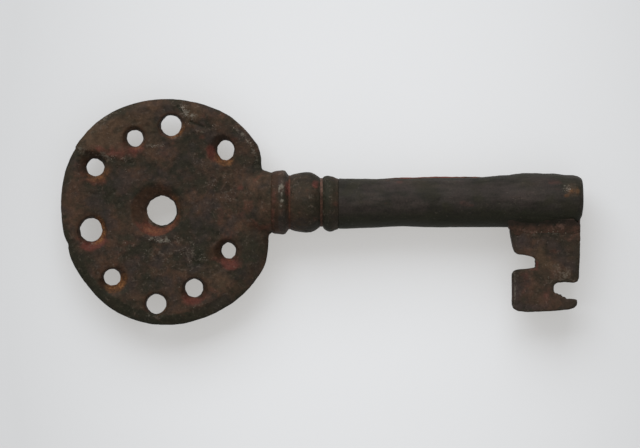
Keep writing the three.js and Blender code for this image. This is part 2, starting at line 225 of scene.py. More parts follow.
# %% Sculpting
def as_array(rows, name):
    """One vector for each row of a mesh's vertices or normals."""
    values = np.empty(len(rows) * 3, np.float32)
    rows.foreach_get(name, values)
    return values.reshape(-1, 3).astype(float)


def soften(piece, weights, rounds=24):
    """Smooths a mesh only where the weights are above 0."""
    group = piece.vertex_groups.new(name="soft")
    tenths = np.rint(np.clip(weights, 0, 1) * 10).astype(int)
    for tenth in range(1, 11):
        group.add(np.flatnonzero(tenths == tenth).tolist(), tenth / 10, "REPLACE")
    apply_modifier(piece, "SMOOTH", factor=0.5, iterations=rounds, vertex_group="soft")
    piece.vertex_groups.clear()


def sculpt(piece, skin, stains=None, smooth=2, soft=None, voxel=VOXEL):
    """Remeshes a solid, lets `skin` move its points and paint its masks, and adds the stains."""
    apply_modifier(piece, "REMESH", mode="VOXEL", voxel_size=voxel)
    apply_modifier(piece, "SMOOTH", factor=0.5, iterations=smooth)
    if soft:
        soften(piece, soft(as_array(piece.data.vertices, "co")))
    mesh = piece.data
    points = as_array(mesh.vertices, "co")
    moved, masks = skin(points, as_array(mesh.vertex_normals, "vector"))
    for mask, table in (stains or {}).items():
        masks[mask] = masks.get(mask, 0) + spots(points, table)
    moved = np.clip(moved, LOWEST, HIGHEST)
    mesh.vertices.foreach_set("co", moved.astype(np.float32).ravel())
    for mask, values in masks.items():
        layer = mesh.attributes.new(mask, "FLOAT", "POINT")
        top = 2.0 if mask == "flecks" else 1.0
        layer.data.foreach_set("value", np.clip(values, 0, top).astype(np.float32))
    mesh.update()
    print(piece.name, len(mesh.loops) - 2 * len(mesh.polygons), "triangles")


def seat(piece, *nodes):
    """Puts a finished piece in the place of its packed one."""
    piece.data.transform(Matrix.Translation(ORIGIN) @ Matrix.Scale(MM, 4))
    piece.data.shade_smooth()
    slot = slots[nodes[0]]
    piece.data.materials.clear()
    piece.data.materials.append(finishes[slot])
    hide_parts(*nodes)
    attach(piece, "root")


# %% [markdown]
# ## Shader maths
# A pattern is easier to read as a sum of terms than as a web of nodes. This small class wraps one socket,
# so that + and * between sockets add Math nodes, and one method adds any other node.

# %% A socket that can be added and multiplied
class Sock:
    def __init__(self, tree, socket=None):
        self.tree = tree
        self.socket = socket

    def node(self, kind, settings=None, sockets=None, out=0):
        made = self.tree.nodes.new(kind)
        for name, value in (settings or {}).items():
            if name == "stops":
                stops = made.color_ramp.elements
                while len(stops) < len(value):
                    stops.new(1.0)
                for stop, (place, colour) in zip(stops, value):
                    stop.position = place
                    stop.color = colour
            else:
                setattr(made, name, value)
        for name, value in (sockets or {}).items():
            if isinstance(value, Sock):
                self.tree.links.new(value.socket, made.inputs[name])
            else:
                made.inputs[name].default_value = value
        return Sock(self.tree, made.outputs[out])

    def maths(self, operation, *values):
        return self.node("ShaderNodeMath", {"operation": operation}, dict(enumerate(values)))

    def __add__(self, other):
        return self.maths("ADD", self, other)

    def __radd__(self, other):
        return self.maths("ADD", other, self)

    def __sub__(self, other):
        return self.maths("SUBTRACT", self, other)

    def __rsub__(self, other):
        return self.maths("SUBTRACT", other, self)

    def __mul__(self, other):
        return self.maths("MULTIPLY", self, other)

    def __rmul__(self, other):
        return self.maths("MULTIPLY", other, self)

    def between(self, low, high):
        """0 below the low value, 1 above the high one."""
        sockets = {"Value": self, "From Min": low, "From Max": high}
        return self.node("ShaderNodeMapRange", {"clamp": True}, sockets)

    def blend(self, first, second):
        """This socket mixes two colours."""
        return self.node("ShaderNodeMix", {"data_type": "RGBA"}, {0: self, 6: first, 7: second}, out=2)

    def into(self, shader, name):
        self.tree.links.new(self.socket, shader.inputs[name])


def rgb(red, green, blue):
    return (red, green, blue, 1.0)


# %% [markdown]
# ## Patterns that both metals use
# Iron and copper need the same few things: noises of several sizes, the masks painted on the mesh, and small
# pale flecks, which are crumbs of dirt and bare metal, and along the rims and the collar also painted
# glints.
# The flecks are the peaks of a fine noise, and the painted mask says how many of the peaks show.

# %% Patterns
class Skin(Sock):
    """A new material, with the patterns that start from the place on the piece."""

    def __init__(self, name):
        self.material = bpy.data.materials.new(name)
        self.material.use_nodes = True
        super().__init__(self.material.node_tree)
        self.shader = self.tree.nodes["Principled BSDF"]
        self.shader.inputs["Specular IOR Level"].default_value = 0.1
        self.place = self.node("ShaderNodeTexCoord", out="Object")

    def pattern(self, scale, detail, rough=0.55, stretch=1.0):
        """A noise, which can be drawn out along the key."""
        drawn = {0: self.place, 1: (1 / stretch, 1.0, 1.0)}
        place = self.node("ShaderNodeVectorMath", {"operation": "MULTIPLY"}, drawn)
        sockets = {"Vector": place, "Scale": scale, "Detail": detail, "Roughness": rough}
        return self.node("ShaderNodeTexNoise", None, sockets)

    def mask(self, name):
        return self.node("ShaderNodeAttribute", {"attribute_name": name}, out="Fac")

    def flecks(self):
        """Pale crumbs, and painted glints where the mask is strong."""
        fine = self.pattern(4300.0, 1.0)
        loose = self.pattern(900.0, 2.0)
        share = fine * 0.7 + loose * 0.3 + self.mask("flecks") * 0.13
        return share.between(0.72, 0.78)

    def veins(self):
        """Short winding lines, which are the crests between the pits of old corrosion."""
        line = self.maths("ABSOLUTE", self.pattern(520.0, 2.0, 0.5) - 0.5).between(0.045, 0.01)
        broken = self.pattern(1500.0, 1.0) * 0.6 + self.mask("flecks") * 0.25
        return line * broken.between(0.38, 0.55)

    def finish(self, colour, roughness, metallic, relief, depth, height):
        """Joins the patterns to the shader."""
        colour.into(self.shader, "Base Color")
        roughness.into(self.shader, "Roughness")
        metallic.into(self.shader, "Metallic")
        bump = {"Strength": relief, "Distance": depth, "Height": height}
        self.node("ShaderNodeBump", None, bump).into(self.shader, "Normal")
        print("finish", self.material.name)
        return self.material


# %% [markdown]
# ## Old iron
# Iron that has been handled for centuries wears a skin of black and brown oxide. On the open faces it is
# rubbed nearly black. Near the holes and joints, where fingers don't reach, orange rust stays. Proud edges
# are worn to a dull grey. The masks painted on each mesh say where each of these is strong, and noises of
# several sizes break them up, so that no patch has a clean border. The same masks also carry painted light:
# painted shade on faces turned away from the lamp, and painted glints along the rims and the collar.

# %% Iron
STAINS_ON_IRON = [
    # mask, where it starts to show and where it is full, strength and colour
    ("plum", 0.3, 0.95, 0.8, rgb(0.036, 0.0265, 0.0245)),
    ("tan", 0.15, 0.85, 0.7, rgb(0.062, 0.038, 0.022)),
    ("brown", 0.15, 0.85, 0.8, rgb(0.036, 0.0185, 0.01)),
    # near black, for soot and for painted shade
    ("soot", 0.15, 0.85, 0.85, rgb(0.0165, 0.0165, 0.0098)),
]


def iron(name, tones, roughness, relief, stretch=1.0):
    """Iron under its old skin. `tones` are its dark, middle and warm colours."""
    skin = Skin(name)
    blotch = skin.pattern(150.0, 3.0, 0.5, stretch)
    hue = skin.pattern(240.0, 3.0)
    patch = skin.pattern(420.0, 3.0, 0.5, stretch)
    mottle = skin.pattern(900.0, 4.0, 0.55, stretch)
    grit = skin.pattern(3000.0, 2.0)
    tone = blotch * 0.52 + patch * 0.36 + mottle * 0.12
    stops = [(place, rgb(*colour)) for place, colour in zip((0.42, 0.5, 0.59), tones)]
    colour = skin.node("ShaderNodeValToRGB", {"stops": stops}, {"Fac": tone})
    colour = (hue.between(0.5, 0.62) * 0.6).blend(colour, rgb(0.031, 0.0235, 0.0205))
    colour = ((1 - hue).between(0.5, 0.62) * 0.6).blend(colour, rgb(0.021, 0.019, 0.0115))

    ragged = (mottle - 0.5) * 0.4 + (patch - 0.5) * 0.8
    for mask, start, full, strength, stain in STAINS_ON_IRON:
        share = (skin.mask(mask) + ragged).between(start, full)
        colour = (share * strength).blend(colour, stain)
    red = (skin.mask("red") + ragged * 1.4).between(0.25, 0.85)
    colour = (red * 0.8).blend(colour, rgb(0.09, 0.027, 0.02))
    rust = (skin.mask("rust") * (1 + ragged * 1.6) + ragged * 0.5).between(0.15, 0.9)
    orange = (mottle * 0.5 + grit * 0.5).between(0.38, 0.62)
    orange = orange.blend(rgb(0.085, 0.034, 0.013), rgb(0.16, 0.071, 0.026))
    colour = (rust * 0.85).blend(colour, orange)
    # pale grey, for wear and for painted glints
    worn = (skin.mask("worn") + ragged * 1.2 + (grit - 0.5) * 0.7).between(0.35, 0.95)
    colour = (worn * 0.7).blend(colour, rgb(0.13, 0.118, 0.095))
    veins = skin.veins()
    colour = (veins * 0.42).blend(colour, rgb(0.115, 0.092, 0.072))
    shade = (mottle * 0.5 + grit * 0.5).between(0.3, 0.7) * 0.8 + 0.6
    colour = skin.node("ShaderNodeVectorMath", {"operation": "SCALE"}, {0: colour, "Scale": shade})
    # pale flecks, and painted glints where the mask is strong
    flecks = skin.flecks()
    colour = (flecks * 0.7).blend(colour, rgb(0.27, 0.24, 0.2))
    roughness = roughness + (grit - 0.5) * 0.3 + rust * 0.2 - worn * 0.1
    metallic = 0.02 + worn * 0.25 + flecks * 0.3
    height = patch * 0.8 + mottle * 0.7 + grit * 0.3 + flecks * 0.2 + veins * 0.25
    return skin.finish(colour, roughness, metallic, relief, 0.0003, height)


# %% [markdown]
# ## Tarnished copper
# The braze between the pieces is copper that has gone brown and red, with a little of the metal's own colour
# where it has been rubbed.

# %% Copper braze
def braze(name):
    """Copper with its tarnish, which the masks turn brown, black or red."""
    skin = Skin(name)
    mottle = skin.pattern(560.0, 6.0, 0.6)
    grit = skin.pattern(2600.0, 3.0)
    tones = [rgb(0.034, 0.018, 0.012), rgb(0.07, 0.03, 0.018), rgb(0.12, 0.052, 0.03)]
    stops = list(zip((0.38, 0.5, 0.62), tones))
    colour = skin.node("ShaderNodeValToRGB", {"stops": stops}, {"Fac": mottle * 0.7 + grit * 0.3})
    brown = (skin.mask("brown") + (mottle - 0.5) * 0.6).between(0.1, 0.9)
    rusty = (mottle * 0.6 + grit * 0.4).between(0.4, 0.6)
    rusty = rusty.blend(rgb(0.03, 0.02, 0.013), rgb(0.062, 0.033, 0.023))
    colour = (brown * 0.95).blend(colour, rusty)
    # near black, for soot and for painted shade
    soot = (skin.mask("soot") + (mottle - 0.5) * 0.6).between(0.1, 0.9)
    dark = mottle.between(0.4, 0.6).blend(rgb(0.015, 0.0135, 0.0095), rgb(0.03, 0.021, 0.0155))
    colour = (soot * 0.95).blend(colour, dark)
    worn = (skin.mask("worn") + (mottle - 0.5) * 0.8 + (grit - 0.5) * 0.9).between(0.35, 0.95)
    colour = (worn * 0.7).blend(colour, rgb(0.17, 0.102, 0.078))
    red = (skin.mask("red") + (mottle - 0.5) * 0.8).between(0.2, 0.9)
    colour = (red * 0.8).blend(colour, rgb(0.18, 0.045, 0.036))
    flecks = skin.flecks()
    colour = (flecks * 0.7).blend(colour, rgb(0.26, 0.22, 0.17))
    metallic = 0.04 + worn * 0.35
    roughness = 0.66 - worn * 0.15 + (grit - 0.5) * 0.3
    return skin.finish(colour, roughness, metallic, 0.6, 0.0002, mottle * 0.6 + grit * 0.4)


# %% Finishes
bow_tones = [(0.0195, 0.017, 0.011), (0.0355, 0.0225, 0.015), (0.057, 0.0315, 0.0195)]
neck_tones = [(0.0215, 0.0175, 0.0115), (0.041, 0.0255, 0.017), (0.066, 0.035, 0.022)]
pipe_tones = [(0.0185, 0.0165, 0.0128), (0.029, 0.0245, 0.0205), (0.04, 0.03, 0.0235)]
bit_tones = [(0.0215, 0.017, 0.0112), (0.037, 0.024, 0.0163), (0.059, 0.0325, 0.021)]
finishes = {
    "bow_iron": iron("bow_iron", bow_tones, 0.66, 0.5),
    "neck_iron": iron("neck_iron", neck_tones, 0.6, 0.45),
    "pipe_iron": iron("pipe_iron", pipe_tones, 0.6, 0.3, stretch=3.5),
    "bit_iron": iron("bit_iron", bit_tones, 0.64, 0.5),
    "copper_braze": braze("copper_braze"),
}

# %% [markdown]
# ## The bow's plate
# The bow is a plate hammered out to a disc. It isn't quite round: it is flatter opposite the shank, a little
# proud above the neck, and has a nick on the left. A formula for the radius at each angle says all that. A
# circle of points is pushed out to it and extruded.

# %% Outline of the bow
BOW_RADIUS = 22.6
BOW_DROP = 1.9  # the middle of the bow lies below the line of the shank
UPPER_SHOULDER = 19.1
LOWER_SHOULDER = 20.6
SHOULDER_ROUND = 1.2


def hump(angle, at, spread):
    """A smooth hump of height 1 at one angle."""
    away = np.minimum(np.abs((angle - at + 180) % 360 - 180) / spread, 1)
    return np.cos(away * math.pi / 2) ** 2


def rim(angle):
    """Radius of the bow's outline at an angle in degrees."""
    nick = 0.25 * hump(angle, 198.5, 7) + 0.2 * hump(angle, 198.3, 2.2)
    disc = BOW_RADIUS - 1.8 * hump(angle, 192, 75) + 0.4 * hump(angle, 53, 30) - nick
    across = np.maximum(np.cos(np.radians(angle)), 0.05)
    shoulder = np.where(angle < 180, UPPER_SHOULDER, LOWER_SHOULDER) / across
    share = np.clip(0.5 + (shoulder - disc) / SHOULDER_ROUND / 2, 0, 1)
    return shoulder * (1 - share) + disc * share - SHOULDER_ROUND * share * (1 - share)


blank = bmesh.new()
bmesh.ops.create_circle(blank, cap_ends=True, segments=300, radius=1.0)
for vert in blank.verts:
    angle = math.degrees(math.atan2(vert.co.y, vert.co.x)) % 360
    reach = float(rim(np.array(angle)))
    vert.co = (vert.co.x * reach, vert.co.y * reach - BOW_DROP, -HALF_PLATE)
raised = bmesh.ops.extrude_face_region(blank, geom=blank.faces[:])
bmesh.ops.translate(blank, verts=new_verts(raised), vec=(0, 0, 2 * HALF_PLATE))
bmesh.ops.recalc_face_normals(blank, faces=blank.faces)
bow = as_piece("forged_bow", blank)
print("bow", [round(c, 1) for c in bow.dimensions], "mm")

# %% [markdown]
# ## Ten drifted holes
# A hole in hot iron is punched and then opened with a tapered drift, so its wall leans, its edge is ragged,
# and the front opens into a shallow dish, often to one side. Each cutter here is such a drift: a cone whose
# rings are pushed to the size, lean and raggedness of one hole.

# %% Holes
WAIST = -0.5  # height of the narrowest place
BACK_FLARE = 0.5
RAGGED = [(1.1, 0.05), (2.4, 0.09), (4.5, 0.06)]  # fineness and depth of the edge's ripples
SMALL_HOLE = 1.6  # half width of a hole that is as ragged as that; wider ones are neater

# Middle from the bow's own middle, half width and half height at the waist, how far the front opens, how
# hollow its wall is and where it leans, how much orange rust and red stain it holds, and the sides that the
# two lie on, in degrees.
Hole = namedtuple("Hole", "x y wide tall flare curve lean_x lean_y orange red orange_side red_side")
HOLES = [
    Hole(-0.76, 0.2, 2.9, 2.9, 2.5, 1.35, -0.8, 0.3, 0.0, 0.0, -88, -88),
    Hole(1.14, 17.3, 1.98, 1.98, 0.6, 1.5, 0.1, -0.3, 0.9, 0.2, -45, -80),
    Hole(-6.12, 14.76, 1.68, 1.68, 0.75, 1.5, -0.1, -0.1, 0.35, 0.7, -65, -85),
    Hole(12.04, 12.36, 1.64, 1.88, 1.2, 1.6, -0.9, 0.0, 0.9, 0.6, -95, -160),
    Hole(-14.06, 8.88, 1.76, 1.76, 1.3, 1.5, -0.8, 0.5, 0.6, 0.5, -75, -95),
    Hole(-14.9, -3.58, 2.1, 2.3, 0.9, 1.5, 0.4, -0.4, 1.3, 0.9, -5, -80),
    Hole(-10.68, -13.08, 1.66, 1.66, 1.3, 1.5, 0.4, -0.9, 1.6, 0.3, -55, -100),
    Hole(-1.82, -18.42, 2.02, 2.02, 0.45, 1.5, 0.1, -0.1, 0.3, 0.15, -40, -60),
    Hole(5.7, -15.2, 1.78, 1.78, 0.95, 1.5, 0.1, -0.6, 0.2, 0.9, -85, -90),
    Hole(12.66, -7.76, 1.36, 1.52, 1.1, 1.5, -0.4, -0.2, 0.2, 1.0, -75, -85),
]


def drift(hole):
    """One tapered cutter, as a bmesh."""
    solid = bmesh.new()
    depth = 2 * (HALF_PLATE + 1)
    bmesh.ops.create_cone(solid, cap_ends=True, segments=72, radius1=1.0, radius2=1.0, depth=depth)
    upright = [edge for edge in solid.edges if edge.verts[0].co.z != edge.verts[1].co.z]
    bmesh.ops.subdivide_edges(solid, edges=upright, cuts=9)
    for vert in solid.verts:
        above = (vert.co.z - WAIST) / (HALF_PLATE - WAIST)
        toward = max(above, 0) ** hole.curve
        opening = hole.flare * toward + BACK_FLARE * max(-above, 0)
        middle = Vector((hole.x + hole.lean_x * toward, hole.y + hole.lean_y * toward))
        across = Vector((vert.co.x * (hole.wide + opening), vert.co.y * (hole.tall + opening)))
        here = Vector((*(middle + across), vert.co.z / 2))
        ragged = sum(deep * noise.noise(here * fine) for fine, deep in RAGGED)
        vert.co.xy = middle + across * (1 + ragged * SMALL_HOLE / hole.wide)
        vert.co.y -= BOW_DROP
    bmesh.ops.recalc_face_normals(solid, faces=solid.faces)
    return solid


drifts = bmesh.new()
for hole in HOLES:
    add_solid(drifts, drift(hole))
cut(bow, drifts)
print("cut", len(HOLES), "holes and left", len(bow.data.polygons), "faces")

# %% [markdown]
# ## Neck and tang
# The bow runs on into a short neck and into the round tang that the rings are threaded on. The neck is a rod
# pressed flat where it joins the plate. Here the rod is turned, and its section is then pressed to an oval
# that grows towards the collar. The voxel remesh fuses it with the disc, as forging does.

# %% Neck
COLLAR_X = span("neck_collar")[0]
TANG_END = span("bow_disc")[1]
TANG_RADIUS = 3.1
NECK_TOP = 6.5
NECK_BOTTOM = -6.4
NECK_RADIUS = 6.0
NECK_HEIGHT = 5.9  # half the thickness of the neck under the collar
NECK_RUN = 9.5  # length over which it swells
NECK_FULLNESS = 1.15
UNDER = 0.5  # each piece runs on a little way under its neighbour, where the joint is closed


def neck_height(x):
    """Half the thickness of the neck, from the plate to the collar."""
    swell = ramp(x, COLLAR_X - NECK_RUN, COLLAR_X + 2.5) ** 1.5
    return HALF_PLATE + (NECK_HEIGHT - HALF_PLATE) * swell * NECK_FULLNESS


neck = bmesh.new()
stations = np.linspace(COLLAR_X - NECK_RUN, COLLAR_X + UNDER, 24)
turned(neck, [(stations[0], 0)] + [(x, NECK_RADIUS) for x in stations] + [(stations[-1], 0)])
for vert in neck.verts:
    vert.co.z *= float(neck_height(np.array(vert.co.x))) / NECK_RADIUS
plate_part = [
    (COLLAR_X - 7, NECK_BOTTOM),
    (COLLAR_X - 0.4, NECK_BOTTOM),
    (COLLAR_X + UNDER, NECK_BOTTOM + 0.6),
    (COLLAR_X + UNDER, NECK_TOP - 0.7),
    (UPPER_SHOULDER, NECK_TOP),
    (COLLAR_X - 7, NECK_TOP),
]
slab(neck, plate_part, -HALF_PLATE, HALF_PLATE)
tang = bmesh.new()
turned(tang, rod(COLLAR_X - 1, TANG_END - 1, TANG_RADIUS)[:3] + [(TANG_END, 2.1), (TANG_END, 0)])
add_solid(neck, tang)
neck.from_mesh(bow.data)
neck.to_mesh(bow.data)
neck.free()
print("neck and tang run to", round(TANG_END, 1), "mm")

# %% [markdown]
# ## Hammer marks, bevel and pits of the bow
# The light shows the surface, so the surface has to be there. Five things move the points: a bevel hammered
# round the rim, wide below and narrow above; broad hammer marks; a lap on the upper left, where two layers
# of iron were welded; a few ridges, lumps and cracks; and pits where rust has eaten in. The tables give
# single places: the middle, from the line of the shank, two half widths, and a height or a strength.

# %% Relief on the bow
BEVEL_DEPTH = 0.75
DISH_X, DISH_Y, DISH_RADIUS = -1.6, 0.5, 5.6  # the wide dish, from the bow's own middle
LAP_X = [-19.0, -15.8, -11.5, -6.9, -3.5]  # the edge of the upper layer of iron
LAP_Y = [11.2, 10.2, 9.0, 8.3, 8.7]
STREAKS = [
    # two ends, half width, and height of a ridge or depth of a crack
    ((5.0, 16.1), (7.7, 15.0), 0.22, -0.35), ((2.5, 19.2), (3.5, 18.1), 0.22, -0.3),
    ((3.3, 18.8), (5.3, 16.6), 0.6, 0.25), ((-3.8, 11.0), (0.2, 11.7), 0.22, 0.1),
    ((6.4, 14.3), (7.8, 13.9), 0.3, 0.12), ((-3.4, -7.2), (-0.6, -7.8), 0.5, 0.12),
    ((-0.6, -7.8), (2.4, -7.0), 0.4, 0.12), ((4.1, -6.9), (5.3, -8.0), 0.2, 0.12),
    ((3.7, -9.3), (4.4, -10.7), 0.2, 0.12), ((6.9, -9.5), (8.6, -12.0), 0.25, 0.1),
    ((5.6, -11.6), (7.4, -12.8), 0.2, -0.2), ((-13.8, -12.4), (-13.0, -15.0), 0.25, 0.12),
    ((-15.6, 1.9), (-13.6, 1.5), 0.2, -0.2), ((-11.0, 1.2), (-9.6, 2.6), 0.3, -0.15),
    ((8.6, 3.4), (11.0, 5.2), 0.25, 0.1), ((12.0, 2.6), (13.4, -0.6), 0.25, 0.09),
    ((9.0, -14.6), (12.0, -12.9), 0.3, -0.14), ((4.9, -21.1), (8.9, -19.9), 0.25, 0.1),
]
LUMPS = [
    (-16.2, 12.1, 0.8, 0.5, 0.15), (10.5, -6.6, 0.5, 0.5, -0.2), (8.8, -8.8, 0.8, 1.2, 0.1),
    (4.6, -7.8, 1.2, 0.9, -0.12), (15.6, 2.4, 1.4, 1.8, 0.1), (-12.0, 0.5, 2.2, 1.4, -0.12),
    (-7.5, 3.5, 2.0, 1.0, 0.1), (8.0, 14.2, 1.2, 0.6, 0.1),
]
ROUGH = [
    (4.5, -10.5, 5.0, 4.0, 1.0), (-11.0, 8.5, 6.0, 2.0, 0.8), (12.5, 4.0, 4.5, 5.0, 0.7),
    (5.0, 16.5, 4.0, 3.0, 0.8),
]
print("marks on the bow:", len(STREAKS + LUMPS + ROUGH))

# %% Stains on the bow
BOW_STAINS = {
    "flecks": [
        (4.0, 18.0, 1.6, 1.8, 0.7), (-13.2, 16.4, 3.2, 2.0, 0.4), (-0.4, -7.5, 2.8, 0.7, 0.4),
        (4.6, -10.0, 3.0, 3.4, 0.4), (-10.0, 9.0, 3.0, 0.6, 0.3), (6.6, 8.4, 1.4, 2.0, 0.4),
        (-2.0, -12.0, 8.0, 4.0, 0.25), (-1.8, 11.2, 2.6, 0.4, 0.8), (12.0, 3.0, 3.0, 3.6, 0.35),
        (9.6, 15.2, 0.4, 0.4, 1.4), (-14.6, -8.0, 0.5, 0.5, 1.0),
    ],
    "tan": [
        (4.9, 17.4, 2.0, 2.2, 0.7), (-14.0, 5.6, 3.0, 1.6, 0.5), (10.0, 8.6, 3.0, 2.0, 0.5),
        (1.2, 14.3, 2.0, 1.0, 0.6), (-11.0, 13.4, 6.0, 3.0, 0.5), (0.0, -9.0, 5.0, 3.0, 0.3),
        (10.5, -14.5, 4.0, 3.0, 0.7),
    ],
    "soot": [
        (6.4, -9.8, 1.6, 2.2, 0.8), (17.5, -9.0, 2.2, 3.4, 0.9), (-16.4, -11.7, 2.4, 2.2, 0.7),
        (-9.0, -19.0, 2.5, 1.5, 0.4),
    ],
    "red": [
        (9.0, 10.2, 0.8, 1.2, 0.7), (-15.3, -8.9, 1.5, 0.6, 0.8), (13.3, -13.0, 1.3, 0.7, 0.7),
        (9.8, -11.4, 1.2, 0.6, 0.4), (15.1, 2.9, 0.8, 0.6, 0.5), (7.2, 13.0, 0.9, 0.5, 0.5),
    ],
    "brown": [(9.3, -10.2, 1.5, 1.7, 0.8)],
}
RUBBED = [
    # grey places by the lap, below the dish and by the holes
    (-10.0, 8.9, 2.4, 0.5, 0.3), (5.2, 17.4, 1.5, 1.0, 0.3), (-0.4, -7.4, 3.0, 0.7, 0.6),
    (1.3, 12.9, 1.2, 0.5, 0.8), (3.4, 15.3, 0.5, 0.9, 0.9), (-2.1, -22.8, 1.4, 0.5, 0.8),
    (13.2, -12.9, 1.2, 0.6, 0.25), (6.2, -20.6, 1.4, 0.3, 0.5),
]


def stain_holes(x, up, rust, red, brown):
    """Adds to three masks the stains round the nine holes of the rim."""
    for hole in HOLES[1:]:
        from_x, from_y = x - hole.x, up - hole.y
        size = (hole.wide + hole.tall) / 2
        distance = (np.hypot(from_x / hole.wide, from_y / hole.tall) - 1) * size
        turn = np.arctan2(from_y, from_x)
        orange_side = np.maximum(np.cos(turn - math.radians(hole.orange_side)), 0) ** 1.3
        red_side = np.maximum(np.cos(turn - math.radians(hole.red_side)), 0) ** 1.5
        rust += hole.orange * (1 - ramp(distance, 0.3 * hole.flare, 0.5 + 1.2 * hole.flare)) * orange_side
        red += hole.red * bell(distance, hole.flare * 0.9, 0.5 + 0.55 * hole.flare) * red_side
        brown += 0.6 * np.exp(-np.maximum(distance - hole.flare, 0) / 0.6)


print("stains on the bow:", ", ".join(BOW_STAINS))

# %% Bow surface
def bow_skin(points, normals):
    # bevel
    x, y, z = points.T
    up = y + BOW_DROP
    angle = np.degrees(np.arctan2(up, x)) % 360
    front = ramp(z, -0.4, 0.4)
    on_disc = 1 - ramp(x, 16.5, 19.5) * (np.abs(y) < 7.2)
    gap = rim(angle) - np.hypot(x, up)
    width = 1.4 + 1.3 * hump(angle, 250, 75) + 1.7 * hump(angle, 315, 45)
    width += 0.8 * hump(angle, 40, 45) + 0.6 * hump(angle, 137, 30)
    width_back = 1.4 + 0.5 * grain(points * (1, 1, 0), 9.0, 3, 1)
    slope = np.clip(1 - gap / width, 0, 1.1) * on_disc
    slope_back = np.clip(1 - gap / width_back, 0, 1.1) * on_disc
    drop = BEVEL_DEPTH * (slope**1.3 * front - 0.7 * slope_back**1.6 * (1 - front))

    # lap, dish, ridges and cracks
    along = ramp(x, -20.5, -18.0) * (1 - ramp(x, -8.0, -3.5)) * front
    above = y - np.interp(x, LAP_X, LAP_Y) - 0.12 * np.sin(x * 2.3)
    lap = 0.2 * ramp(above, -0.15, 0.25) * np.exp(-np.maximum(above, 0) / 3.0)
    lap -= 0.08 * bell(above, -0.4, 0.35)
    from_dish = np.hypot(x - DISH_X, up - DISH_Y) - DISH_RADIUS
    dish_turn = np.arctan2(up - DISH_Y, x - DISH_X - 1.0)
    low_side = np.maximum(-np.sin(dish_turn), 0)
    ridges, cracks = np.zeros(len(points)), np.zeros(len(points))
    for start, end, half_width, height in STREAKS:
        line = bell(off_line(points, start, end), 0, half_width) * front
        ridges += max(height, 0) * line
        cracks += max(-height, 0) * line

    # hammer marks and pits, calmer in the dish
    broad = grain(points, 7.5, 1)
    middle = grain(points, 2.0, 2)
    fine = grain(points, 0.7, 4, 2)
    rough = 1 + 1.3 * spots(points, ROUGH)
    pits = -0.13 * ramp(grain(points, 1.4, 5, 2), 0.4, 0.75)
    calm = 1 - 0.75 * (1 - ramp(from_dish, -1.0, 0.3)) * front
    height = (0.13 * broad + (0.045 * middle + 0.03 * fine) * rough + pits + spots(points, LUMPS)) * calm
    height += lap * along + (ridges - cracks) * calm + 0.1 * bell(from_dish, 0.5, 0.6) * low_side * front
    height *= 1 - 0.8 * ramp(x, COLLAR_X - 0.6, COLLAR_X)
    moved = points + normals * height[:, None]
    moved[:, 2] -= drop * ramp(np.abs(z), 0.4, 1.2)

    # rust and its colours
    fading = 0.5 + 0.5 * np.cos(dish_turn - math.radians(50))
    inside = (1 - ramp(from_dish, -0.5 - 1.7 * fading, 0.1 + 0.2 * fading)) * front
    right_side = np.maximum(np.cos(dish_turn - math.radians(20)), 0)
    rust = (0.36 * low_side**2 + 0.4 * right_side) * inside * ramp(from_dish, -3.0, -1.6)
    red = (0.7 * low_side + 0.2 * right_side) * inside * ramp(from_dish, -3.4, -1.6)
    brown = 0.95 * inside
    stain_holes(x, up, rust, red, brown)
    at_neck = ramp(x, 11, 17) * ramp(-np.abs(y), -9, -4)
    red += 0.14 * at_neck + 0.2 * ramp(grain(points, 5.0, 6), 0.1, 0.6)
    red += 0.45 * along * bell(above, 1.1, 0.9) * ramp(x, -16.0, -13.0)
    tan = 0.55 * ramp(up, 10, 14) * (1 - ramp(x, -4, 2)) * front + 0.4 * at_neck

    # dark where it is sunk, painted shade where the rim and the lap's step face away from the lamp, and wear
    # and painted glints where it stands proud
    # painted shade: darker on the lower bevel and inside the lower left rim, which face away from the lamp,
    # and just below the lap's step; also darker along the cracks, in low places and in a band inside the
    # upper left rim
    soot = 0.8 * ramp(slope, 0.02, 0.3) * hump(angle, 265, 90) * front + 0.4 * ramp(-middle, 0.15, 0.6)
    soot += 2.5 * cracks + 0.5 * along * bell(above, -0.8, 0.6)
    soot += 0.5 * (1 - ramp(gap, 0.6, 2.6)) * hump(angle, 225, 100) * front
    soot += 0.6 * (1 - ramp(gap, 0.8, 1.8)) * hump(angle, 116, 24) * front
    dashes = ramp(grain(points * (1, 1, 0), 0.9, 24, 2), 0.0, 0.4)
    # painted glints: pale streaks just inside the upper right and upper left rims, and a lighter upper right
    # bevel, laid into the wear and fleck masks
    glints = bell(gap, 1.1, 0.35) * hump(angle, 41, 22) + 0.7 * bell(gap, 0.35, 0.4) * hump(angle, 117, 13)
    worn = 0.3 * ramp(slope, 0.1, 0.6) * hump(angle, 38, 36) + 0.9 * glints * dashes
    worn += 0.2 * ramp(slope, 0.8, 1.0) + 0.35 * ramp(broad + middle * 0.5, 0.5, 0.95)
    worn += 4.0 * ridges * dashes + spots(points, RUBBED) * (0.5 + dashes)
    lap_end = 0.8 * bell(x, -17.0, 0.9) * bell(above, 0.3, 0.4)
    worn += along * (0.5 * bell(above, 0.15, 0.25) * dashes + lap_end)
    flecks = 0.2 + 0.6 * along * bell(above, 0.0, 0.7) + glints + 4 * ridges
    rusts = {"rust": rust, "red": red, "brown": brown, "tan": tan}
    return moved, {**rusts, "soot": soot, "worn": worn, "flecks": flecks}


def neck_blend(points):
    """Where the forging is smoothed over: the neck."""
    x, y = points.T[:2]
    return ramp(x, 11.0, 14.0) * ramp(-np.abs(y), -9.5, -7.0) * (1 - ramp(x, COLLAR_X, COLLAR_X + 0.3))


sculpt(bow, bow_skin, BOW_STAINS, soft=neck_blend, voxel=BOW_VOXEL)
seat(bow, "bow_disc")

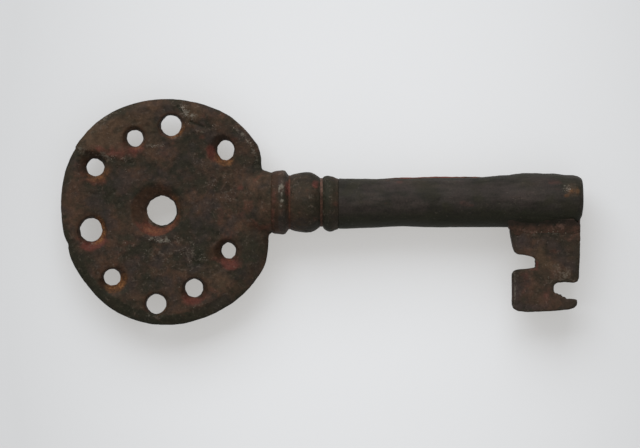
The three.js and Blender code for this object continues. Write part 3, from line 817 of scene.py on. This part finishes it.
# %% [markdown]
# ## Rings of the neck
# Collar, bead and ferrule are rings filed to shape on the tang. A profile of each is spun round the line of
# the shank. Files leave fewer marks than hammers, so their surface moves less. Each profile dives under its
# neighbour, so that only a V shows between them. The copper in the bottom of the two V grooves is two more
# rings with a crumbled skin.

# %% Bend of the shank
BORE_RADIUS = 3.25
PIPE_BACK, PIPE_FRONT = span("shank_pipe")
BEND = [
    # place along the key, and how far to the +Y side of its line the pieces lie there
    (31.2, 0.0), (33.2, -0.3), (36.0, -0.28), (41.5, -0.22), (47.5, 0.0), (63.0, 0.02), (67.0, 0.18),
    (72.5, 0.42), (PIPE_FRONT, 0.38),
]
print("the shank bends by", max(away for _, away in BEND), "mm")


def eased(x, table):
    """A value that eases from each station to the next."""
    x = np.asarray(x, float)
    total = np.full(x.shape, float(table[0][1]))
    for (from_x, from_value), (to_x, to_value) in zip(table, table[1:]):
        total += (to_value - from_value) * ramp(x, from_x, to_x)
    return total


# %% Rings
# Each ring's profile is a list of shares of its width with the radius there.
rings = {
    "neck_collar": [
        (0.0, 5.88), (0.08, 6.08), (0.2, 6.25), (0.45, 6.33),
        (0.72, 6.44), (0.87, 6.3), (1.0, 5.72), (1.12, 5.2),
    ],
    "collar_braze": [(-0.4, 5.3), (0.5, 5.42), (1.4, 5.3)],
    "neck_bead": [
        (-0.07, 5.2), (0.0, 5.52), (0.1, 5.7), (0.3, 5.93), (0.52, 6.06),
        (0.7, 5.98), (0.84, 5.66), (1.0, 5.0), (1.06, 4.6),
    ],
    "bead_braze": [(-0.3, 4.8), (0.5, 4.88), (1.3, 4.8)],
    "pipe_ferrule": [
        (-0.08, 4.7), (0.0, 5.15), (0.14, 5.45), (0.38, 5.62),
        (0.62, 5.5), (0.85, 5.2), (1.02, 5.06), (1.08, 4.6),
    ],
}
# Painted glints on the collar's ridge: pale spots that go into the wear and fleck masks.
GLINTS = [(23.15, 2.4, 0.35, 0.8, 3.0), (23.4, 0.3, 0.3, 0.5, 2.2), (23.3, -0.9, 0.3, 0.8, 1.2)]
RING_STAINS = {
    "flecks": [
        (26.0, 3.2, 1.6, 1.6, 0.4), (29.4, -1.2, 0.8, 1.8, 0.4), (31.9, 3.8, 0.8, 0.9, 0.5),
        (32.6, -2.0, 0.9, 1.4, 0.4),
    ],
    "red": [
        (24.4, 2.6, 0.5, 2.0, 0.9), (30.0, 3.8, 0.9, 0.9, 1.0), (34.2, -0.3, 0.8, 0.9, 0.4),
        (21.6, -2.0, 0.6, 4.0, 0.5),
    ],
}


def ring_skin(points, normals):
    x, y, z = points.T
    radius = np.hypot(y, z)
    middle = grain(points, 2.2, 7)
    fine = grain(points, 0.7, 8, 2)
    pits = -0.1 * ramp(grain(points, 1.3, 9, 2), 0.4, 0.7)
    height = (0.05 * middle + 0.022 * fine + pits) * ramp(radius, 4.2, 4.6)
    moved = points + normals * height[:, None]
    moved[:, 1] += eased(x, BEND)
    # painted glints on the collar's ridge, as wear and many pale flecks
    glints = spots(points, GLINTS) * ramp(fine, -0.35, 0.25)
    worn = 0.3 * ramp(middle, 0.3, 0.8) + 0.35 * ramp(radius, 6.2, 6.5) + glints
    worn += bell(x, 31.2, 0.5) * (0.35 + 0.35 * ramp(y, 1.0, 3.0))
    red = 0.2 * ramp(grain(points, 3.0, 10), 0.0, 0.5)
    brown = 0.8 * (1 - ramp(x, 22.4, 22.9)) + 0.4 * bell(x, 34.0, 0.8)
    # darker just past the collar's ridge, from the bead on, and on the ferrule
    soot = 0.5 * bell(x, 23.9, 0.4) + 0.5 * ramp(x, 24.6, 26.0)
    soot = soot + 0.3 * bell(x, 24.8, 0.4) + 0.3 * bell(x, 32.2, 0.6)
    return moved, {"worn": worn, "red": red, "brown": brown, "soot": soot, "flecks": 0.2 + glints}


for node, profile in rings.items():
    back, front = span(node)
    outside = [(back + share * (front - back), radius) for share, radius in profile]
    solid = bmesh.new()
    turned(solid, outside + [(outside[-1][0], BORE_RADIUS), (outside[0][0], BORE_RADIUS)])
    ring = as_piece(node + "_worn", solid)
    sculpt(ring, ring_skin, RING_STAINS, smooth=1)
    seat(ring, node)

# %% [markdown]
# ## The shank pipe
# The shank is sheet iron rolled into a pipe, so it has a bore for the lock's pin and a seam. It is drawn in
# a little along its middle, swelled where the bit stands in it, and not quite straight. A profile is spun,
# the seam and the slot for the bit are cut, and the sculpting bends the whole.

# %% Pipe
STATIONS = [
    # place along the shank and radius
    (PIPE_BACK, 4.98), (47.0, 4.8), (55.0, 5.0), (63.0, 4.96), (67.0, 5.14), (72.5, 5.42), (77.0, 5.3),
    (81.2, 5.0),
]
LIP_LENGTH = 2.2
LIP_DROP = 1.2
SEAM_HALF = 0.35
BIT_BACK = span("bit")[0]
BIT_HALF = 2.2
PLAY = 0.1
PAST = PIPE_FRONT + 1  # past the mouth
CLEAR = 8  # past the outside of the pipe


def pipe_profile(swell=0.0):
    """The outside of the pipe, with a lip rounded over at the mouth."""
    places = np.linspace(PIPE_BACK, PIPE_FRONT - LIP_LENGTH, 50)
    outside = list(zip(places, eased(places, STATIONS) + swell))
    for turn in np.radians((15, 30, 45, 60, 75, 90)):
        place = PIPE_FRONT - LIP_LENGTH * (1 - math.sin(turn))
        outside.append((place, outside[49][1] - LIP_DROP * (1 - math.cos(turn))))
    return outside


solid = bmesh.new()
mouth = [(PIPE_FRONT, BORE_RADIUS + 0.2), (PIPE_FRONT - 0.2, BORE_RADIUS), (PIPE_BACK, BORE_RADIUS)]
turned(solid, pipe_profile() + mouth)
pipe = as_piece("rolled_pipe", solid)
openings = bmesh.new()
seam_gap = [(PIPE_BACK - 1, 0), (PAST, 0), (PAST, CLEAR), (PIPE_BACK - 1, CLEAR)]
slab(openings, seam_gap, -SEAM_HALF, SEAM_HALF)
bit_slot = [(BIT_BACK + PLAY, -CLEAR), (PAST, -CLEAR), (PAST, -0.01), (BIT_BACK + PLAY, -0.01)]
slab(openings, bit_slot, PLAY - BIT_HALF, BIT_HALF - PLAY)
cut(pipe, openings)
print("pipe", [round(c, 1) for c in pipe.dimensions], "mm")

# %% Pipe surface
PIPE_STAINS = {
    "red": [(77.5, 1.8, 2.5, 1.6, 0.15), (44.0, 0.0, 0.6, 0.4, 0.4), (48.0, 1.4, 1.2, 0.4, 0.2)],
    "plum": [(46.0, 3.2, 5.0, 1.4, 0.8), (65.0, 2.6, 7.0, 2.0, 0.7), (74.0, 1.0, 5.0, 1.4, 0.5)],
    "rust": [(80.9, 1.8, 0.7, 0.6, 0.6), (79.9, 0.9, 0.6, 0.35, 0.6), (82.2, 1.9, 0.5, 1.0, 0.4)],
    "worn": [(79.6, 2.9, 0.2, 0.2, 1.2), (82.9, 3.2, 0.3, 0.8, 0.5), (72.5, 0.9, 0.3, 0.5, 0.4)],
    "flecks": [(80.2, 2.3, 0.9, 0.7, 1.6), (71.0, 1.2, 4.0, 1.2, 0.25), (44.0, 1.0, 1.0, 2.0, 0.3)],
    "tan": [(81.0, 1.9, 1.3, 1.0, 0.9)],
}


def pipe_skin(points, normals):
    x, y, z = points.T
    outer = ramp(np.hypot(y, z), 3.6, 4.4)
    broad = grain(points, 9.0, 11)
    middle = grain(points, 2.4, 12)
    fine = grain(points, 0.8, 13, 2)
    pits = -0.08 * ramp(grain(points, 1.2, 14, 2), 0.5, 0.8)
    rough_end = 1 + ramp(x, PIPE_FRONT - 3, PIPE_FRONT)
    height = (0.05 * broad + 0.018 * middle * rough_end + 0.01 * fine * rough_end + pits) * outer
    moved = points + normals * height[:, None]
    moved[:, 1] += eased(x, BEND)
    moved[:, 0] -= 0.35 * ramp(-y, 0.5, 5.0) * ramp(x, PIPE_FRONT - 4, PIPE_FRONT)
    # painted shade: darker on the lower side, which faces away from the lamp, and a painted darkening along
    # the lit top edge; also darker in low places
    soot = 0.85 * ramp(-y, 0.5, 3.2) + 0.2 * ramp(-middle, 0.2, 0.7) + 0.3 * ramp(y, 4.2, 4.9)
    red = 0.2 * ramp(grain(points, 4.0, 15), 0.2, 0.7)
    worn = 0.25 * ramp(middle + broad * 0.4, 0.5, 0.9)
    return moved, {"soot": soot, "red": red, "worn": worn}


sculpt(pipe, pipe_skin, PIPE_STAINS)
seat(pipe, "shank_pipe")

# %% [markdown]
# ## The seam
# Copper was run into the seam. It stands a little proud along the middle of the shank, where it shows from
# above as a thin red line.

# %% Seam
solid = bmesh.new()
seam_outline = pipe_profile(0.03) + [(PIPE_FRONT, BORE_RADIUS), (PIPE_BACK, BORE_RADIUS)]
slab(solid, seam_outline, -SEAM_HALF - PLAY, SEAM_HALF + PLAY)
seam = as_piece("copper_seam", solid)
RED_RUNS = [(48.7, 3.4, 0.7), (56.0, 2.6, 0.75), (62.8, 2.2, 0.4)]  # middle, half length and strength


def seam_skin(points, normals):
    x, y = points.T[:2]
    shown = ramp(x, 43, 46) * (1 - ramp(x, 61, 65))
    lumps = grain(points, 1.6, 16)
    moved = points + normals * (0.03 * lumps)[:, None]
    moved[:, 1] += eased(x, BEND) + (0.09 * shown + 0.02 + 0.04 * lumps) * ramp(y, 4.2, 4.6)
    soot = 0.9 - 0.9 * shown + 0.25 * lumps
    red = sum(strength * bell(x, middle, half) for middle, half, strength in RED_RUNS) + 0.3 * lumps
    return moved, {"soot": soot, "red": red * shown, "worn": 0.35 * ramp(lumps, 0.2, 0.7)}


sculpt(seam, seam_skin, smooth=1)
seat(seam, "seam_braze")

# %% [markdown]
# ## The bit
# The bit is a thick plate filed to fit its lock. Two ward cuts run in from its edges, one from each side,
# and corrosion has rounded their corners and eaten the finger below the outer cut. Its outline is drawn
# corner by corner, extruded, and hollowed where the bore passes its root.

# %% Bit
BIT_OUTLINE = [
    (68.9, -2.0), (68.9, -5.9), (69.1, -7.1), (69.4, -8.8), (69.8, -9.9), (70.5, -10.4), (71.7, -10.5),
    (73.4, -10.9), (74.1, -11.4), (73.8, -11.8), (74.05, -12.2), (73.85, -12.55), (74.25, -13.0),
    (72.3, -13.25), (70.4, -13.4), (69.6, -13.7),
    (69.28, -14.3), (69.28, -20.5), (69.6, -21.3), (70.4, -21.7), (72.4, -21.9), (76.7, -21.7),
    (78.9, -21.55), (80.5, -21.4), (81.6, -21.05), (82.1, -20.6), (82.25, -19.9), (82.1, -19.35),
    (80.8, -19.25), (80.1, -19.3), (79.8, -18.85), (79.2, -18.9), (79.05, -18.35), (78.5, -18.5),
    (78.3, -18.1), (77.7, -18.25), (77.5, -17.5), (77.6, -16.5), (78.3, -16.0), (79.8, -15.9),
    (81.6, -16.05), (82.3, -15.8), (82.6, -15.1), (82.75, -11.9), (82.86, -4.7), (82.86, -2.0),
]
BLOCK_EDGE = 69.28  # the block's side towards the bow, which is bevelled
solid = bmesh.new()
slab(solid, BIT_OUTLINE, -BIT_HALF, BIT_HALF)
bit = as_piece("filed_bit", solid)
cut_rod(bit, BIT_BACK - 3, PIPE_FRONT + 3, BORE_RADIUS)
print("bit", [round(c, 1) for c in bit.dimensions], "mm")

# %% Bit surface
PALE = [
    # a patch that crosses the bit, and a bright speck
    (75.2, -11.2, 1.0, 1.0, 0.5), (77.3, -12.9, 1.6, 0.8, 0.65), (79.8, -14.2, 1.5, 0.8, 0.6),
    (79.9, -14.9, 0.35, 0.3, 1.0), (75.8, -6.6, 3.0, 0.5, 0.35),
]
BIT_STAINS = {
    "red": [
        (74.2, -12.3, 0.4, 0.9, 0.75), (73.4, -13.4, 1.0, 0.3, 0.6), (72.0, -14.9, 1.4, 1.2, 0.35),
        (71.9, -16.8, 1.2, 1.2, 0.35), (76.2, -18.0, 1.1, 1.4, 0.4), (77.9, -9.7, 1.2, 0.8, 0.4),
        (81.0, -6.5, 1.6, 2.0, 0.3),
    ],
    "tan": [(74.6, -10.2, 1.4, 1.5, 0.9), (76.5, -12.5, 2.0, 1.0, 0.5)],
    "plum": [(70.0, -18.0, 1.3, 3.5, 0.9), (73.0, -21.0, 4.0, 1.0, 0.8), (70.8, -8.0, 1.6, 2.0, 0.8)],
    "soot": [(80.6, -20.3, 1.8, 1.0, 0.4), (71.5, -19.0, 1.8, 2.0, 0.2)],
    "flecks": [(79.6, -14.4, 1.4, 0.8, 1.0), (75.8, -5.8, 4.5, 1.0, 0.6), (76.5, -15.5, 0.6, 2.0, 0.5)],
}


def bit_skin(points, normals):
    x, y, z = points.T
    broad = grain(points, 5.0, 17)
    middle = grain(points, 1.7, 18)
    fine = grain(points, 0.7, 19, 2)
    pits = -0.14 * ramp(grain(points, 1.3, 20, 2), 0.42, 0.75)
    below = ramp(-y, 3.4, 4.4)
    pale = spots(points, PALE)
    height = (0.07 * broad + 0.04 * middle + 0.02 * fine + pits + 0.1 * pale) * below
    moved = points + normals * height[:, None]
    bevel = np.clip(1 - (x - BLOCK_EDGE) / 0.9, 0, 1) * ramp(-y, 13.4, 14.4) * (1 - ramp(-y, 20.3, 21.3))
    moved[:, 2] -= 0.5 * bevel * np.sign(z) * ramp(np.abs(z), 0.8, 1.6)
    # grey wear on the bevelled edge of the block, with a painted highlight along it
    worn = 0.68 * bell(bevel, 0.45, 0.3) + 0.25 * ramp(broad + middle * 0.6, 0.5, 1.0) + 0.6 * pale
    red = 0.15 * ramp(grain(points, 2.6, 21), 0.1, 0.6)
    # darker in low places, towards the right edge and along the bottom
    soot = 0.35 * ramp(-middle, 0.2, 0.7) + 0.4 * ramp(x, 80.8, 82.5) * ramp(-y, 7, 9)
    soot += 0.4 * ramp(-y, 20.4, 21.8)
    return moved, {"worn": worn, "red": red, "tan": 1.2 * pale, "soot": soot, "flecks": 0.2}


sculpt(bit, bit_skin, BIT_STAINS)
seat(bit, "bit")

# %% [markdown]
# ## Braze round the bit
# The bit stands in its slot with copper run along both sides, which climbs the pipe in a hollow slope. A
# section of that slope is extruded along the joint, cut on a slant at both ends and hollowed for the pipe.
# Its lower edge dips under the face of the bit, so that it ends in an uneven line.

# %% Fillets
BRAZE_BACK, BRAZE_FRONT = span("bit_braze")
# Points (y, z) of the hollow slope, from the pipe down to the face of the bit.
SLOPE = [(-3.6, 3.85), (-4.1, 3.35), (-4.6, 2.95), (-5.2, 2.6), (-5.9, 2.32), (-6.6, 2.12), (-7.4, 1.8)]
BACK_SLANT = [(-1.0, -3.0), (0.2, -5.1), (1.1, -6.3), (1.1, -9.0), (-1.0, -9.0)]
FRONT_SLANT = [(1.0, -2.0), (-1.6, -2.0), (-1.3, -3.6), (-0.5, -4.7), (0.1, -5.2), (1.0, -5.2)]
PIPE_ROOM = 4.95  # radius hollowed out for the pipe, a little less than the pipe's own
OVERLAP = 0.3  # how deep the braze reaches into the face of the bit
solid = bmesh.new()
section = [solid.verts.new((BRAZE_BACK, y, z)) for y, z in SLOPE]
section += [solid.verts.new((BRAZE_BACK, y, -z)) for y, z in reversed(SLOPE)]
run = bmesh.ops.extrude_face_region(solid, geom=[solid.faces.new(section)])
bmesh.ops.translate(solid, verts=new_verts(run), vec=(BRAZE_FRONT - BRAZE_BACK, 0, 0))
bmesh.ops.recalc_face_normals(solid, faces=solid.faces)
fillet = as_piece("braze_fillet", solid)
cut_rod(fillet, BRAZE_BACK - 2, PIPE_FRONT + 2, PIPE_ROOM)
bit_room = [(BIT_BACK + OVERLAP, -9), (PAST, -9), (PAST, -1), (BIT_BACK + OVERLAP, -1)]
cut_slab(fillet, bit_room, BIT_HALF - OVERLAP)
for end, slant in ((BRAZE_BACK, BACK_SLANT), (BRAZE_FRONT, FRONT_SLANT)):
    cut_slab(fillet, [(end + x, y) for x, y in slant], CLEAR)


BRAZE_STAINS = {
    "worn": [(73.3, -5.9, 2.0, 0.35, 0.6), (78.5, -5.1, 2.0, 0.5, 0.6), (71.6, -5.5, 0.8, 0.4, 0.5)],
    "flecks": [(75.8, -5.8, 5.0, 0.8, 0.7)],
}


def fillet_skin(points, normals):
    x, y = points.T[:2]
    lumps = grain(points, 1.5, 22)
    fine = grain(points, 0.6, 23, 2)
    low_edge = ramp(-y, 5.4, 6.4)
    height = (0.07 + 0.08 * low_edge) * lumps + 0.04 * fine - 0.04 * low_edge
    moved = points + normals * height[:, None]
    moved[:, 1] += eased(x, BEND) * ramp(y, -6, -4.5)
    ragged = 0.25 * lumps + 0.2 * fine
    # painted shade: the slope is dark up by the pipe, like the pipe's shaded lower side
    soot = 1 - ramp(-y + ragged, 4.6, 5.4)
    return moved, {"worn": ragged, "brown": np.ones(len(points)), "soot": soot, "flecks": 0.2}


sculpt(fillet, fillet_skin, BRAZE_STAINS, smooth=1)
seat(fillet, "bit_braze")

# %% [markdown]
# ## Paper, light and camera
# The key lies on pale paper under a copy stand. One large soft lamp stands beyond the upper left of the
# picture, so that rims facing it are lit and the walls under them are dark, and the room fills in the rest.
# A pool of light is painted on the sheet, a little brighter under the middle of the stand, and the sheet
# glows a little, which lightens its shadows and paints them warm.

# %% Floor
bpy.ops.mesh.primitive_plane_add(size=4.0, location=(0, 0, 0))
floor = bpy.context.object
floor.name = "paper_floor"
paper = bpy.data.materials.new("paper")
paper.use_nodes = True
tree = paper.node_tree
matt = tree.nodes["Principled BSDF"]
matt.inputs["Roughness"].default_value = 0.9
start = Sock(tree)
place = {"Vector": start.node("ShaderNodeTexCoord", out="Object")}
along_key, across_key = [start.node("ShaderNodeSeparateXYZ", None, place, out=way) for way in "XY"]
POOL_AT = 0.006  # the bright middle of the sheet
POOL_STRETCH = 0.3  # makes it longer across the key
POOL_EDGE = (0.0003, 0.0050)  # squares of the distances where it starts and ends to fade
GLOW_SHARE = 0.53  # how much of what is seen is the sheet's glow, a painted light that lightens and warms its shadows
# a painted pool of light: the sheet's colour and its glow are brighter round POOL_AT and dim away from it
off_middle = (along_key - POOL_AT) * (along_key - POOL_AT) + across_key * across_key * POOL_STRETCH
dim = off_middle.between(*POOL_EDGE)
dim.blend(rgb(0.76, 0.81, 0.88), rgb(0.65, 0.69, 0.745)).into(matt, "Base Color")
seen = start.node("ShaderNodeLightPath", out="Is Camera Ray")
seen = seen + start.node("ShaderNodeLightPath", out="Is Glossy Ray")
seen = seen + start.node("ShaderNodeLightPath", out="Is Transmission Ray")
# the glow is warmer than the lit sheet, so the shadows on the sheet are painted warm
shown = dim.blend(rgb(0.77, 0.745, 0.71), rgb(0.65, 0.63, 0.6))
glow = start.node("ShaderNodeEmission", None, {"Color": shown, "Strength": 1.0})
lit = Sock(tree, matt.outputs[0])
sheet = start.node("ShaderNodeMixShader", None, {0: seen * GLOW_SHARE, 1: lit, 2: glow})
sheet.into(tree.nodes["Material Output"], "Surface")
floor.data.materials.append(paper)
print("floor", [round(c, 1) for c in floor.dimensions], "m")

# %% Light
world = bpy.data.worlds.new("studio")
bpy.context.scene.world = world
world.use_nodes = True
room_light = world.node_tree.nodes["Background"]
room_light.inputs["Color"].default_value = rgb(1.0, 0.99, 0.98)
room_light.inputs["Strength"].default_value = 0.52
lamp = bpy.data.lights.new("soft_box", "AREA")
lamp.shape = "RECTANGLE"
lamp.size = 1.6
lamp.size_y = 1.1
lamp.energy = 20.8
soft_box = add_object("soft_box", lamp)
soft_box.location = (-0.34, 1.06, 0.97)
soft_box.rotation_euler = (-soft_box.location).to_track_quat("-Z", "Y").to_euler()
print("lamp", round(soft_box.location.length, 2), "m from the key")

# %% Camera
PIXEL = 0.2 * MM
VIEW_WIDTH = 640 * PIXEL  # the picture is 640 pixels wide
VIEW_CENTRE = (-0.328 * MM, -2.424 * MM)
CAMERA_HEIGHT = 0.9
copy_stand = bpy.data.cameras.new("copy_stand")
copy_stand.lens = copy_stand.sensor_width * (CAMERA_HEIGHT - ORIGIN.z) / VIEW_WIDTH
camera = add_object("copy_stand", copy_stand)
camera.location = (*VIEW_CENTRE, CAMERA_HEIGHT)
bpy.context.scene.camera = camera
bpy.context.scene.view_settings.view_transform = "Standard"
print("lens", round(copy_stand.lens, 1), "mm")

# %% End
print("scene built")
